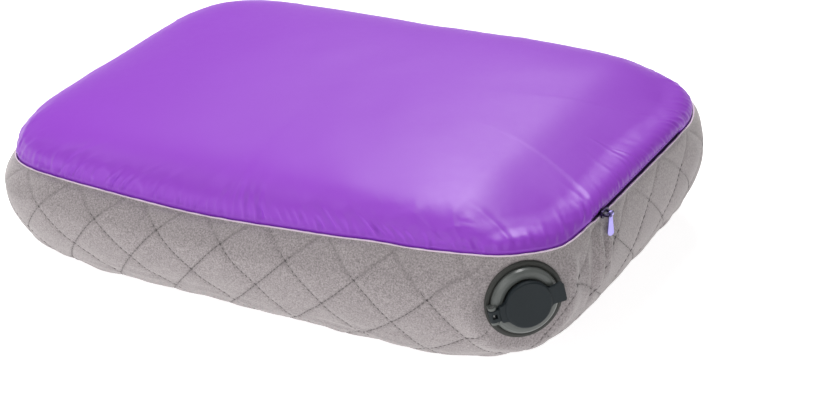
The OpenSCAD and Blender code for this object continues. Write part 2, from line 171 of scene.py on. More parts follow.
def run_along(points):
    """Distance run along a line of points, from its first point."""
    return np.concatenate([[0], np.cumsum(np.linalg.norm(np.diff(points, axis=0), axis=1))])


def run_up(grid):
    """Distance run up each column of a grid, from its first row."""
    step = np.linalg.norm(np.diff(grid, axis=1), axis=-1)
    return np.concatenate([np.zeros((len(grid), 1)), np.cumsum(step, 1)], 1)


def even_angles(count):
    """Angles at which the outline's points are evenly spaced, from the back's middle, their
    distances round it, and its whole length."""
    share = np.linspace(0, 1, 3001)[:-1]
    quarter = math.pi / 2 * share**3 / (share**3 + (1 - share) ** 3)
    fine = np.concatenate([quarter + k * math.pi / 2 for k in (1, 2, 3, 4)] + [[2.5 * math.pi]])
    run = run_along(np.stack(outline(SEAM_L, SEAM_W, fine), 1))
    where = np.linspace(0, run[-1], count, endpoint=False)
    return np.interp(where, run, fine), where, run[-1]


def run_at(x, y):
    """Distance along the outline, from the back's middle, of the point nearest x, y."""
    ang, where, _ = even_angles(4000)
    point_x, point_y = outline(SEAM_L, SEAM_W, ang)
    return where[np.argmin((point_x - x) ** 2 + (point_y - y) ** 2)]


# ---- Grids --------------------------------------------------------------------------
# The first axis of a grid runs round the cushion, and the second up or inwards.


def grid_normals(grid):
    """Outward unit normals."""
    along = np.roll(grid, -1, 0) - np.roll(grid, 1, 0)
    across = np.gradient(grid, axis=1)
    normals = np.cross(along, across)
    return normals / np.maximum(np.linalg.norm(normals, axis=-1, keepdims=True), 1e-9)


def eased(grid, from_seam):
    """Rounds the bends that the valve puts in the seam, over a band beside the seam."""
    reach_mm, sigma_mm = 26, 9.5
    seam = grid[:, np.argmin(from_seam[0])]
    step = np.linalg.norm(np.roll(seam, 1, 0) - seam, axis=-1).mean()
    reach = int(reach_mm / step)
    weights = np.exp(-0.5 * (np.arange(-reach, reach + 1) * step / sigma_mm) ** 2)
    soft = np.zeros_like(grid)
    for shift, weight in zip(range(-reach, reach + 1), weights / weights.sum()):
        soft += weight * np.roll(grid, shift, 0)
    near = smooth((70 - from_valve(grid)[0]) / 26) * (1 - smooth(from_seam / 16))
    return grid + (soft - grid) * near[..., None]


def lowest_near(field, cols, rows):
    """The least value within a window of the grid."""
    across = field
    for shift in range(-cols, cols + 1):
        across = np.minimum(across, np.roll(field, shift, 0))
    low = across
    for shift in range(1, rows + 1):
        ahead = np.concatenate([across[:, shift:], np.repeat(across[:, -1:], shift, 1)], 1)
        behind = np.concatenate([np.repeat(across[:, :1], shift, 1), across[:, :-shift]], 1)
        low = np.minimum(low, np.minimum(ahead, behind))
    return low


def gaussian(sigma):
    """Whole steps out to three sigma, and their weights."""
    steps = np.arange(-int(3 * sigma), int(3 * sigma) + 1)
    weights = np.exp(-0.5 * (steps / sigma) ** 2)
    return zip(steps.tolist(), weights / weights.sum())


def blurred(field, along, across):
    """Gaussian blur of a grid that closes on itself along its first axis."""
    once = np.zeros_like(field)
    for shift, weight in gaussian(along):
        once += weight * np.roll(field, shift, 0)
    last = field.shape[1] - 1
    twice = np.zeros_like(field)
    for shift, weight in gaussian(across):
        twice += weight * once[:, np.clip(np.arange(last + 1) + shift, 0, last)]
    return twice


def waves(x, y, length, count, seed):
    """Smooth repeatable unevenness of about a given wavelength, mostly from -1 to 1."""
    random = np.random.default_rng(seed)
    out = np.zeros_like(x)
    for _ in range(count):
        way = random.uniform(0, 2 * math.pi)
        rate = random.uniform(0.7, 1.4)
        phase = random.uniform(0, 2 * math.pi)
        out += np.sin((x * math.cos(way) + y * math.sin(way)) * 2 * math.pi * rate / length + phase)
    return out / math.sqrt(count * 1.3)


def widening_steps(length, step, even_to, growth, widest, spare):
    """Distances along a run: even steps as far as even_to, and wider and wider ones after,
    that stop short of its end by at least spare."""
    wanted = [0.0]
    while wanted[-1] + step < length - spare:
        wanted.append(wanted[-1] + step)
        if wanted[-1] > even_to:
            step = min(step * growth, widest)
    return wanted


# ---- Mesh helpers -------------------------------------------------------------------


def add_object(name, verts, faces, uvs=None, smooth_shade=True):
    mesh = bpy.data.meshes.new(name)
    mesh.from_pydata([tuple(v) for v in np.asarray(verts) * MM], [], [tuple(f) for f in faces])
    mesh.update()
    if smooth_shade:
        mesh.polygons.foreach_set("use_smooth", [True] * len(mesh.polygons))
    if uvs is not None:
        layer = mesh.uv_layers.new(name="cloth")
        layer.data.foreach_set("uv", np.asarray(uvs, dtype=np.float32).ravel())
    obj = bpy.data.objects.new(name, mesh)
    bpy.context.scene.collection.objects.link(obj)
    return obj


def grid_faces(cols, rows):
    """Quads of a grid that closes on itself along its first axis."""
    col, row = np.meshgrid(np.arange(cols), np.arange(rows - 1), indexing="ij")
    here = col * rows + row
    beside = (col + 1) % cols * rows + row
    return np.stack([here, beside, beside + 1, here + 1], -1).reshape(-1, 4)


def fan_faces(ring, pole, backwards=False):
    """Triangles from a ring of vertices to its pole."""
    following = np.roll(ring, -1)
    first, second = (following, ring) if backwards else (ring, following)
    return np.stack([first, second, np.full(len(ring), pole)], -1)


def used_by(count, quads, fan):
    """Which of the vertices are used, and the faces with the used ones numbered afresh."""
    used = np.zeros(count, bool)
    used[np.concatenate([quads.ravel(), fan.ravel()])] = True
    index = np.cumsum(used) - 1
    return used, [tuple(index[list(face)]) for face in (*quads, *fan)]


def grid_uvs(faces, rows, round_run, up_run, total):
    """Per-corner coordinates in metres: distance round and distance up."""
    col, row = faces // rows, faces % rows
    u = round_run[col]
    start = u.min(1, keepdims=True)
    u = np.where((u - start) > total / 2, u - total, u)
    return np.stack([u * MM, up_run[col, row] * MM], -1).reshape(-1, 2)


def attribute(obj, name, values):
    layer = obj.data.attributes.new(name, "FLOAT", "POINT")
    layer.data.foreach_set("value", np.asarray(values, dtype=np.float32))


def ring_faces(rings, sides, backwards=False):
    """Faces of a closed tube of rings, capped at both ends."""
    faces = []
    for ring in range(rings - 1):
        for this in range(sides):
            following = (this + 1) % sides
            near, far = ring * sides, (ring + 1) * sides
            faces.append((near + this, far + this, far + following, near + following))
    faces.append(tuple(range(sides)))
    faces.append(tuple((rings - 1) * sides + this for this in range(sides - 1, -1, -1)))
    return [face[::-1] for face in faces] if backwards else faces


def tube(path, radius):
    """A closed six-sided tube along a path of points, as vertices and faces."""
    sides = 6
    way = np.gradient(path, axis=0)
    way /= np.linalg.norm(way, axis=1, keepdims=True)
    steep = np.abs(way[:, 2:3]) >= 0.9
    side = np.cross(way, np.where(steep, [[1.0, 0.0, 0.0]], [[0.0, 0.0, 1.0]]))
    side /= np.linalg.norm(side, axis=1, keepdims=True)
    other = np.cross(way, side)
    turn = (np.arange(sides) * 2 * math.pi / sides)[None, :, None]
    ring = side[:, None] * np.cos(turn) + other[:, None] * np.sin(turn)
    verts = (path[:, None] + ring * radius).reshape(-1, 3)
    return verts, ring_faces(len(path), sides)


def node_box(name):
    """The low and high corners of a CAD node's box, in millimetres."""
    obj = nodes[name]
    corners = np.array([obj.matrix_world @ Vector(c) for c in obj.bound_box]) / MM
    return corners.min(0), corners.max(0)


# ---- Top panel ----------------------------------------------------------------------


def top_turns():
    """Turns whose points are about a millimetre apart by the seam and wider near the pole."""
    start = 0.02
    fine = np.concatenate([np.geomspace(1e-7, start, 1500), np.linspace(start, math.pi / 2, 3000)[1:]])
    run = run_along(np.stack([150 * np.sqrt(np.cos(fine)), 26 * np.sqrt(np.sin(fine))], 1))
    wanted = widening_steps(run[-1], step=0.9, even_to=26, growth=1.09, widest=5.0, spare=3.0)
    return np.interp(wanted, run, fine)


def pucker_field(s, t, total, seed, spacing, depth, reach, width):
    """Creases that start at the seam and run up the cloth, thin, sharp and fading as they
    go. s runs round the seam and t up from it; depth, reach and width are ranges."""
    random = np.random.default_rng(seed)
    height = np.zeros_like(t)
    at = 0.0
    while at < total - spacing * 0.4:
        lean = random.normal(0.0, 0.13)
        length = reach[0] + (reach[1] - reach[0]) * random.random() ** 1.6
        wide = random.uniform(*width)
        amp = random.uniform(*depth)
        bend = random.normal(0.0, 0.004)
        start = random.uniform(-1.0, 3.5)
        side = random.choice((-1.0, 1.0))
        off = wrap(s[:, None] - at - lean * t - bend * t * t, total)
        spread = wide * (0.8 + 1.3 * t / length)
        ridge = np.exp(-np.abs(off / spread) ** 1.35)
        valley = np.exp(-(((off - side * 1.9 * spread) / (1.15 * spread)) ** 2))
        other = np.exp(-(((off + side * 2.4 * spread) / (1.6 * spread)) ** 2))
        fade = smooth((t - start) / 5.0) * (1 - smooth((t - start) / length))
        height += amp * (ridge - 0.75 * valley - 0.3 * other) * fade
        at += spacing * random.uniform(0.45, 1.6)
    return height


def simulated_gathers():
    """Blows up a slightly oversized cloth that is pinned at the seam, and returns how its
    gathers stand off the smooth surface, and the distances of its rows from the seam."""
    cols, frames = 640, 13
    limit = 1.3
    ang, _, _ = even_angles(cols)
    turns = top_turns()
    run = run_up(crown_surface(ang[:, None], turns[None, :])).mean(0)
    wanted = widening_steps(run[-1], step=1.6, even_to=24, growth=1.06, widest=7.0, spare=2)
    crown = crown_surface(ang[:, None], np.interp(wanted, run, turns)[None, :])
    rows = crown.shape[1]
    verts = np.concatenate([crown.reshape(-1, 3), [[0, 0, crown[:, -1, 2].mean()]]])
    pole = len(verts) - 1
    seam = np.arange(cols) * rows
    last = seam + rows - 1
    obj = add_object("gathering", verts, [*grid_faces(cols, rows), *fan_faces(last, pole)])
    pins = obj.vertex_groups.new(name="pins")
    pins.add([int(i) for i in (*seam, *last, pole)], 1.0, "REPLACE")
    pins.add([int(i) for i in seam + 1], 0.5, "REPLACE")
    modifier = obj.modifiers.new("cloth", "CLOTH")
    cloth_set = modifier.settings
    cloth_set.quality = 6
    cloth_set.mass = 0.15
    cloth_set.tension_stiffness = cloth_set.compression_stiffness = 12
    cloth_set.shear_stiffness = 3
    cloth_set.bending_stiffness = 0.08
    cloth_set.air_damping = 2
    cloth_set.use_pressure = True
    cloth_set.uniform_pressure_force = 4
    cloth_set.shrink_min = cloth_set.shrink_max = -0.03
    cloth_set.vertex_group_mass = "pins"
    cloth_set.effector_weights.gravity = 0
    modifier.point_cache.frame_start, modifier.point_cache.frame_end = 1, frames
    for number in range(1, frames + 1):
        bpy.context.scene.frame_set(number)
    shaped = obj.evaluated_get(bpy.context.evaluated_depsgraph_get()).to_mesh()
    blown = np.empty(len(shaped.vertices) * 3, np.float32)
    shaped.vertices.foreach_get("co", blown)
    blown = blown.reshape(-1, 3)[:-1].reshape(cols, rows, 3) / MM
    bpy.data.objects.remove(obj, do_unlink=True)
    bpy.context.scene.frame_set(1)
    off = ((blown - crown) * grid_normals(crown)).sum(-1)
    folds = off - blurred(off, along=6.5, across=2.2)
    return np.tanh(folds / limit) * limit, np.array(wanted)


def sampled(folds, at, t, cols):
    """The simulated folds, carried onto a finer grid of cols columns and distances t."""
    coarse = folds.shape[0]
    where = np.arange(cols) * coarse / cols
    col = where.astype(int)
    col_share = (where - col)[:, None]
    level = np.interp(t, at, np.arange(len(at)))
    row = np.minimum(level.astype(int), len(at) - 2)
    row_share = level - row
    columns = []
    for side in (col % coarse, (col + 1) % coarse):
        column = side[:, None]
        columns.append(folds[column, row] * (1 - row_share) + folds[column, row + 1] * row_share)
    return columns[0] * (1 - col_share) + columns[1] * col_share


def crown_fullness(x, y, t):
    """How the filling moves the nylon out from the smooth crown: it bulges over the seam,
    fills the back left corner, and falls off early towards the zip's end."""
    roll = 1.5 * (1 - zip_mask(x, y, 12, 12)) * (t / 8) * np.exp(1 - t / 8)
    back_left = 3.0 * bell(45, x + 155, y - 105)
    zip_end = 4.0 * smooth((x - 124) / 46) * smooth((t - 4) / 26)
    return 0.5 * smooth(t / 45) - roll + back_left - zip_end


def crown_height(s, t, total, x, y):
    """How far the finished nylon stands off the smooth crown."""
    broad = 0.35 * waves(x, y, length=150, count=7, seed=3)
    broad += 0.06 * waves(x, y, length=46, count=9, seed=4)
    fine = pucker_field(s, t, total, seed=11, spacing=5.0, depth=(0.35, 1.15), reach=(12, 30),
                        width=(0.7, 1.2))
    long = pucker_field(s, t, total, seed=12, spacing=17.0, depth=(0.3, 0.9), reach=(20, 50),
                        width=(1.0, 1.9))
    calm = 1 - 0.5 * smooth((x - 140) / 30)
    height = crown_fullness(x, y, t) + broad * smooth(t / 22) + (fine + long) * calm
    folds, at = simulated_gathers()
    beside_seam = smooth(t / 3) * (1 - smooth((t - 16) / 30))
    height += 0.3 * calm * sampled(folds, at, t, len(s)) * beside_seam
    return height


def make_top_panel():
    """The nylon, a coarse grid of its inside for the pad, and the line sewn by the zip."""
    cols = 1280
    sewn_at = 3.6     # distance of the zip's sewing from the seam
    ang, s, total = even_angles(cols)
    crown = crown_surface(ang[:, None], top_turns()[None, :])
    t = run_up(crown)
    crown = eased(crown, t)
    normals = grid_normals(crown)
    x, y = crown[..., 0], crown[..., 1]
    height = crown_height(s, t, total, x, y)
    height *= 0.35 + 0.65 * smooth((from_valve(crown)[0] - 20) / 14)
    inner = ((crown + normals * lowest_near(height, cols=6, rows=1)[..., None])[::10], t[::10])
    crown = crown + normals * height[..., None]
    row = int(np.argmin(np.abs(t.mean(0) - sewn_at)))
    beside_zip = np.nonzero((x[:, row] > ZIP_END_X) & (np.abs(y[:, row]) < ZIP_HALF + 3))[0]
    # The first rows turn in behind the lower cover's edge, higher along the zip.
    inward = inward_of(ang)
    tuck = 1.3 * (1 - smooth(t / 3.0))
    crown[..., :2] += inward[:, None, :] * tuck[..., None]
    along_zip = zip_mask(x[:, :1], y[:, :1])
    crown[..., 2] += along_zip * 0.7 * (1 - smooth(t / 9))
    sewn = (crown[beside_zip, row], normals[beside_zip, row])
    hem = crown[:, :1].copy()
    hem[..., 2] += along_zip * 0.5 - 2.2 * (1 - along_zip)
    hem[..., :2] += inward[:, None, :] * (0.3 + 1.3 * along_zip[..., None])
    crown = np.concatenate([hem, crown], 1)
    t = np.concatenate([t[:, :1] - 2.0, t], 1)
    rows = crown.shape[1]
    verts = np.concatenate([crown.reshape(-1, 3), [[0.0, 0.0, crown[:, -1, 2].mean() + 0.05]]])
    quads = grid_faces(cols, rows)
    fan = fan_faces(np.arange(cols) * rows + rows - 1, len(verts) - 1)
    fan_uv = np.stack([np.stack([s] * 3, -1), np.stack([t[:, -1]] * 2 + [t[:, -1] + 5], -1)], -1)
    uvs = np.concatenate([grid_uvs(quads, rows, s, t, total), fan_uv.reshape(-1, 2) * MM])
    obj = add_object("top_panel_cloth", verts, [*quads, *fan], uvs)
    # Painted shade: the nylon is darkened over its first few millimetres above the seam, where it
    # tucks into the seam.
    seam_shade = np.clip(1 - (t.ravel() - 0.5) / 6, 0, 1)
    attribute(obj, "seam_shade", np.concatenate([seam_shade, [0.0]]))
    return obj, inner, sewn


# ---- Lower cover --------------------------------------------------------------------

QUILT = 42.3          # corner to corner of the quilted diamonds
QUILT_SHIFT = -4.3    # of the crossing nearest the front's middle
CROSSING_Z = 55.0     # height of that crossing
GROOVE_W = 0.8

# Creases below the zip's slider: where each starts along the seam from the slider, its lean,
# its depth, its width, and how far below the seam it starts and ends.
SLIDER_CREASES = (
    (-2, 0.10, 1.9, 2.6, 0, 50),
    (-9, -0.02, 2.3, 3.2, 1, 62),
    (-17, 0.12, 1.5, 3.0, 3, 48),
    (5, -0.16, 1.2, 2.4, 0, 34),
    (14, -0.05, 0.8, 3.0, 1, 30),
    (-25, 0.05, 0.9, 3.4, 6, 40))

# The turned-in top edge, as a section: how far in from the seam and how far up.
LIP = ((-0.12, 0.2), (-0.05, 0.45), (0.15, 0.68), (0.45, 0.72), (0.75, 0.5), (0.9, 0.1), (1.0, -1.2))


def lower_levels():
    """Levels about 1.3 mm apart up the side."""
    fine = np.linspace(0, 2, 4001)
    front = np.array([-math.pi / 2 + 1e-6])
    run = run_along(lower_surface(front, fine[:, None])[:, 0])
    count = int(run[-1] / 1.25)
    return np.interp(np.linspace(0, run[-1], count + 1), run, fine)


def quilt_lines(a, b, period):
    """Distance from the nearest line of each diagonal family."""
    one = np.abs(wrap(a + b, period)) / math.sqrt(2)
    two = np.abs(wrap(a - b, period)) / math.sqrt(2)
    return one, two


def quilt_grooves(one, two, width):
    return np.exp(-((one / width) ** 2)) + np.exp(-((two / width) ** 2))


def quilt_height(one, two):
    """Puffed diamonds between narrow stitched grooves."""
    puff = (1 - np.exp(-one / 5.5)) * (1 - np.exp(-two / 5.5))
    return 0.62 * puff - 0.35 * quilt_grooves(one, two, GROOVE_W)


def clear_of_valve(lateral):
    """0 beside the valve, rising to 1 round it."""
    return smooth((lateral - 22.5) / 9)


def slider_creases(s, down, total):
    """The creases that hang below the zip's slider; s runs round and down from the seam."""
    at_slider = run_at(SEAM_L, SLIDER_Y)
    crease = np.zeros_like(down)
    for off, lean, depth, width, top, foot in SLIDER_CREASES:
        side = wrap(s[:, None] - at_slider - off - lean * down, total)
        fade = smooth((down - top) / 6) * (1 - smooth((down - foot * 0.5) / (foot * 0.5)))
        banks = 0.7 * np.exp(-(((np.abs(side) - 2.1 * width) / width) ** 2))
        crease += depth * fade * (banks - np.exp(-np.abs(side / width) ** 1.6))
    return crease


def cover_height(quilt, a, v, z, s, total, lateral):
    """How far the finished cover stands off its smooth wall."""
    down = v[:, -1:] - v
    low = smooth((36 - z) / 24) * smooth(z / 5)
    height = quilt_height(*quilt)
    height += low * 0.6 * waves(a, v * 3.4, length=80, count=7, seed=21)
    height += low * 0.28 * waves(a * 0.6, v * 3.4, length=26, count=9, seed=23)
    height += 0.3 * waves(a, v, length=32, count=9, seed=22)
    height *= clear_of_valve(lateral) * smooth(down / 3.0)
    return height + slider_creases(s, down, total) * smooth((lateral - 24) / 8)


def turned_lip(seam, ang, s):
    """Rows that turn the top edge in with a small uneven roll."""
    inward = inward_of(ang)
    wobble = 1 + 0.12 * waves(s, s * 0, length=11, count=6, seed=31)
    lip = []
    for inn, up in LIP:
        row = seam.copy()
        row[:, :2] += inward * (inn * wobble)[:, None]
        row[:, 2] += up * wobble
        lip.append(row)
    return np.stack(lip, 1)


def flat_bottom(ang):
    """The flat bottom, quilted on the same diagonals, and each row's share of its outline."""
    foot_x, foot_y = outline(HALF_L - FOOT_INSET, HALF_W - FOOT_INSET, ang)
    share = np.linspace(0.03, 1.0, 30)[:-1]
    x, y = foot_x[:, None] * share, foot_y[:, None] * share
    tuft = 0.5 * quilt_grooves(*quilt_lines(x - QUILT_SHIFT, y, QUILT), 2.2)
    return np.stack([x, y, tuft * smooth((1 - share) / 0.08)], -1), share


def open_port(points, quads):
    """Takes away the faces inside the valve's port, and makes its edge a true circle."""
    inner_side = -12
    lateral, along = from_valve(points[quads].mean(1))
    quads = quads[~((lateral < PORT_R) & (along > inner_side))]
    used = np.zeros(len(points), int)
    np.add.at(used, quads.ravel(), 1)
    lateral, along = from_valve(points)
    edge = (used > 0) & (used < 4) & (lateral < PORT_R + 3) & (along > inner_side)
    off = points - VALVE_C
    radial = off - (off @ VALVE_N)[:, None] * VALVE_N
    radial /= np.maximum(np.linalg.norm(radial, axis=1, keepdims=True), 1e-6)
    return np.where(edge[:, None], VALVE_C + radial * PORT_R, points), quads


def make_lower_cover():
    """The quilted cover, and the grid that its thread and its inner layers follow."""
    cols = 960
    ang, s, total = even_angles(cols)
    wall = lower_surface(ang[:, None], lower_levels()[None, :])
    period = total / round(total / QUILT)
    v = run_up(wall)
    front = int(np.argmin(np.abs(wrap(s - run_at(0, -SEAM_W), total))))
    v_cross = np.interp(CROSSING_Z, wall[front, :, 2], v[front])
    down = v[:, -1:] - v
    wall = eased(wall, down)
    a = (s - run_at(QUILT_SHIFT, -SEAM_W))[:, None] + 0 * v
    b = v - v_cross
    quilt = quilt_lines(a, b, period)
    lateral, _ = from_valve(wall)
    x, y, z = wall[..., 0], wall[..., 1], wall[..., 2]
    height = cover_height(quilt, a, v, z, s, total, lateral)
    normals = grid_normals(wall)
    under = wall + normals * lowest_near(height, cols=5, rows=2)[..., None]
    wall = wall + normals * height[..., None]
    wall[..., 2] = np.maximum(wall[..., 2], 0.0)
    # The top edge is lower along the zip.
    wall[..., 2] -= 1.4 * zip_mask(x[:, -1:], y[:, -1:]) * smooth(1 - down / 12)
    flat, share = flat_bottom(ang)
    points = np.concatenate([flat, wall, turned_lip(wall[:, -1], ang, s)], 1)
    rows = points.shape[1]
    lip_run = v[:, -1:] + np.arange(1, len(LIP) + 1) * 0.6
    up_run = np.concatenate([v[:, :1] - (1 - share) * 100, v, lip_run], 1)
    points, quads = open_port(points.reshape(-1, 3), grid_faces(cols, rows))
    fan = fan_faces(np.arange(cols) * rows, len(points), backwards=True)
    fan_uv = np.stack([np.stack([s] * 3, -1), np.full((cols, 3), -100.0)], -1).reshape(-1, 2) * MM
    uvs = np.concatenate([grid_uvs(quads, rows, s, up_run, total), fan_uv])
    used, faces = used_by(len(points) + 1, quads, fan)
    obj = add_object("lower_cover_cloth", np.concatenate([points, np.zeros((1, 3))])[used], faces, uvs)
    # Painted highlight: the turned-in lip rows are painted pale pink, as their top catches the light
    # and reflects the purple above.
    turned = np.zeros((cols, rows))
    turned[:, -len(LIP):] = 1.0
    # Painted shade: the sunk quilting grooves are painted darker, kept clear of the valve.
    groove = np.zeros((cols, rows))
    lines = np.clip(quilt_grooves(*quilt, GROOVE_W), 0, 1)
    groove[:, flat.shape[1]:-len(LIP)] = lines * clear_of_valve(lateral)
    for name, field in (("lip_highlight", turned), ("groove_shade", groove)):
        attribute(obj, name, np.append(field, 0.0)[used])
    far = np.full((cols, flat.shape[1]), 99.0)
    grid = {
        "inside": np.concatenate([flat, under], 1)[::8],
        "from_seam": np.concatenate([far, down], 1)[::8],
        "wall": wall, "normals": normals, "lateral": lateral,
        "a": a[:, 0], "v": v, "v_cross": v_cross, "period": period, "total": total}
    return obj, grid


def inner_layer(name, grid, keep, pole_last, depth, thick, hole=0.0, thin_rim=1.0):
    """A closed layer that follows a cover's inside: the kept rows of its grid, moved in by
    depth and thickened. A hole is cut round the valve, and the rim may be thinner."""
    points = (grid - grid_normals(grid) * depth)[:, keep]
    cols, rows = points.shape[:2]
    pole_row, rim_rows = (rows - 1, slice(0, 3)) if pole_last else (0, slice(rows - 3, rows))
    verts = np.concatenate([points.reshape(-1, 3), [points[:, pole_row].mean(0)]])
    quads = grid_faces(cols, rows)
    if hole:
        lateral, along = from_valve(verts[quads].mean(1))
        quads = quads[~((lateral < hole) & (along > -20))]
    ring = np.arange(cols) * rows + pole_row
    fan = fan_faces(ring, len(verts) - 1, backwards=not pole_last)
    used, faces = used_by(len(verts), quads, fan)
    obj = add_object(name, verts[used], faces)
    level = np.ones((cols, rows))
    level[:, rim_rows] = thin_rim
    level = np.append(level, 1.0)[used]
    group = obj.vertex_groups.new(name="thick")
    for value in np.unique(level):
        group.add([int(i) for i in np.nonzero(level == value)[0]], float(value), "REPLACE")
    solid = obj.modifiers.new("thickness", "SOLIDIFY")
    solid.thickness, solid.offset, solid.vertex_group = thick * MM, -1.0, "thick"
    shaped = bpy.data.meshes.new_from_object(obj.evaluated_get(bpy.context.evaluated_depsgraph_get()))
    obj.modifiers.clear()
    obj.data = shaped
    return obj


# ---- Thread and coils ---------------------------------------------------------------

# A quilting stitch: its pitch, its length and its thread's radius.
STITCH_PITCH, STITCH_L, STITCH_R = 3.3, 2.3, 0.2
# Its rings: share of the length, share of the radius, and lift off the cloth.
STITCH_RINGS = (
    (0.0, 0.25, -0.18), (0.12, 0.8, 0.04), (0.5, 1.0, 0.12), (0.88, 0.8, 0.04), (1.0, 0.25, -0.18))
STITCH_SIDES = 6


def place_on(grid, a, height):
    """The point of the quilted wall at a round it and height up it, with the normal there
    and the distance from the valve's axis."""
    v, wall = grid["v"], grid["wall"]
    cols = len(v)
    place = ((a - grid["a"][0]) / grid["total"] * cols) % cols
    col = int(place) % cols
    col_share = place - int(place)
    beside = (col + 1) % cols
    level = np.interp(height, v[col], np.arange(v.shape[1]))
    row = min(int(level), v.shape[1] - 2)
    row_share = level - row
    here = wall[col, row] * (1 - row_share) + wall[col, row + 1] * row_share
    there = wall[beside, row] * (1 - row_share) + wall[beside, row + 1] * row_share
    point = here * (1 - col_share) + there * col_share
    return point, grid["normals"][col, row], grid["lateral"][col, row]


def stitch_verts(start, end, normal):
    """Rings of points round one stitch, which is sunk at both ends."""
    axis = (end - start) / np.linalg.norm(end - start)
    side = np.cross(normal, axis)
    side /= max(np.linalg.norm(side), 1e-6)
    verts = []
    for share, fat, lift in STITCH_RINGS:
        middle = start + (end - start) * share + normal * lift
        for corner in range(STITCH_SIDES):
            turn = corner * 2 * math.pi / STITCH_SIDES
            verts.append(middle + STITCH_R * fat * (side * math.cos(turn) + normal * math.sin(turn)))
    return verts


def make_stitches(grid):
    """Quilting thread: short stitches laid along every diagonal, sunk in its groove."""
    lowest, below_seam, round_valve = 6.5, 4.5, 23.5
    period, a_start, v_cross = grid["period"], grid["a"][0], grid["v_cross"]
    highest = grid["v"][:, -1].min() - below_seam
    one_stitch = ring_faces(len(STITCH_RINGS), STITCH_SIDES, backwards=True)
    verts, faces = [], []
    for way in (1, -1):
        for line in range(round(grid["total"] / period)):
            crossing = line * period + a_start - a_start % period
            low = lowest
            while low < highest:
                high = low + STITCH_L / math.sqrt(2)
                start, normal, start_off = place_on(grid, crossing - way * (low - v_cross), low)
                end, _, end_off = place_on(grid, crossing - way * (high - v_cross), high)
                low += STITCH_PITCH / math.sqrt(2)
                # None is laid on the valve's port, or where the grid folds or spreads.
                if min(start_off, end_off) < round_valve or not 1 <= np.linalg.norm(end - start) <= 4:
                    continue
                faces += [tuple(len(verts) + i for i in face) for face in one_stitch]
                verts += stitch_verts(start, end, normal)
    return add_object("quilting_thread", verts, faces)


def make_seam_stitches(name, line, normals, pitch, length, radius):
    """Short stitches laid along a line on the cloth, each dipping in at its ends."""
    lift = np.array([-0.22, 0.06, 0.12, 0.06, -0.22])
    run = run_along(line)
    verts, faces = [], []
    at = 0.6
    while at + length < run[-1]:
        where = at + np.linspace(0, 1, len(lift)) * length
        path = np.stack([np.interp(where, run, line[:, k]) for k in range(3)], 1)
        up = np.stack([np.interp(where, run, normals[:, k]) for k in range(3)], 1)
        stitch, stitch_faces = tube(path + up * lift[:, None], radius)
        faces += [tuple(i + len(verts) for i in face) for face in stitch_faces]
        verts += [tuple(point) for point in stitch]
        at += pitch
    return add_object(name, verts, faces)


def make_coil(name, old):
    """One wound coil of the zip, flattened a little towards its tape, in its CAD rod's place."""
    turns, per_turn, wire_r = 88, 12, 0.28
    low, high = node_box(old)
    middle = (low + high) / 2
    radius = (high[0] - low[0]) / 2 - 0.3
    half = (high[1] - low[1]) / 2 - 0.4
    share = np.linspace(0, 1, turns * per_turn + 1)
    turn = 2 * math.pi * turns * share
    x = middle[0] + radius * np.cos(turn)
    y = middle[1] + (share - 0.5) * 2 * half
    z = middle[2] + radius * np.sin(turn) * (1 - 0.12 * np.cos(2 * turn))
    return add_object(name, *tube(np.stack([x, y, z], 1), wire_r))


# ---- Material helpers ---------------------------------------------------------------


def new_material(name):
    mat = bpy.data.materials.new(name)
    mat.use_nodes = True
    tree = mat.node_tree
    tree.nodes.clear()
    out = tree.nodes.new("ShaderNodeOutputMaterial")
    shader = tree.nodes.new("ShaderNodeBsdfPrincipled")
    tree.links.new(shader.outputs[0], out.inputs[0])
    return mat, tree, shader


def object_coords(tree):
    return tree.nodes.new("ShaderNodeTexCoord").outputs["Object"]


def noise(tree, vector, scale, detail=4.0, rough=0.55):
    made = tree.nodes.new("ShaderNodeTexNoise")
    made.inputs["Scale"].default_value = scale
    made.inputs["Detail"].default_value = detail
    made.inputs["Roughness"].default_value = rough
    tree.links.new(vector, made.inputs["Vector"])
    return made.outputs["Fac"]


def painted(tree, name):
    """A value that the mesh carries at its points."""
    made = tree.nodes.new("ShaderNodeAttribute")
    made.attribute_name = name
    return made.outputs["Fac"]


def ramp(tree, value, low_stop, high_stop):
    made = tree.nodes.new("ShaderNodeValToRGB")
    for element, (position, colour) in zip(made.color_ramp.elements, (low_stop, high_stop)):
        element.position = position
        element.color = colour
    tree.links.new(value, made.inputs[0])
    return made.outputs[0]


def feed(tree, socket, value):
    """Links a value that is a socket, and sets one that is a number or a colour."""
    if isinstance(value, bpy.types.NodeSocket):
        tree.links.new(value, socket)
    else:
        socket.default_value = value


def mix(tree, factor, low, high):
    made = tree.nodes.new("ShaderNodeMix")
    made.data_type = "RGBA"
    feed(tree, made.inputs[0], factor)
    feed(tree, made.inputs[6], low)
    feed(tree, made.inputs[7], high)
    return made.outputs[2]


def math_node(tree, operation, first, second):
    made = tree.nodes.new("ShaderNodeMath")
    made.operation = operation
    feed(tree, made.inputs[0], first)
    feed(tree, made.inputs[1], second)
    return made.outputs[0]


def tinted(tree, tone, amount, share, colour):
    """Mixes a colour into a tone, by an amount between 0 and 1 times a share."""
    return mix(tree, math_node(tree, "MULTIPLY", amount, share), tone, colour)


def spread(tree, value, width, low):
    """A value between 0 and 1, spread over width from low."""
    return math_node(tree, "ADD", math_node(tree, "MULTIPLY", value, width), low)


def bump(tree, shader, height, strength, distance, before=None):
    made = tree.nodes.new("ShaderNodeBump")
    made.inputs["Strength"].default_value = strength
    made.inputs["Distance"].default_value = distance
    tree.links.new(height, made.inputs["Height"])
    if before is not None:
        tree.links.new(before, made.inputs["Normal"])
    tree.links.new(made.outputs[0], shader.inputs["Normal"])
    return made.outputs[0]


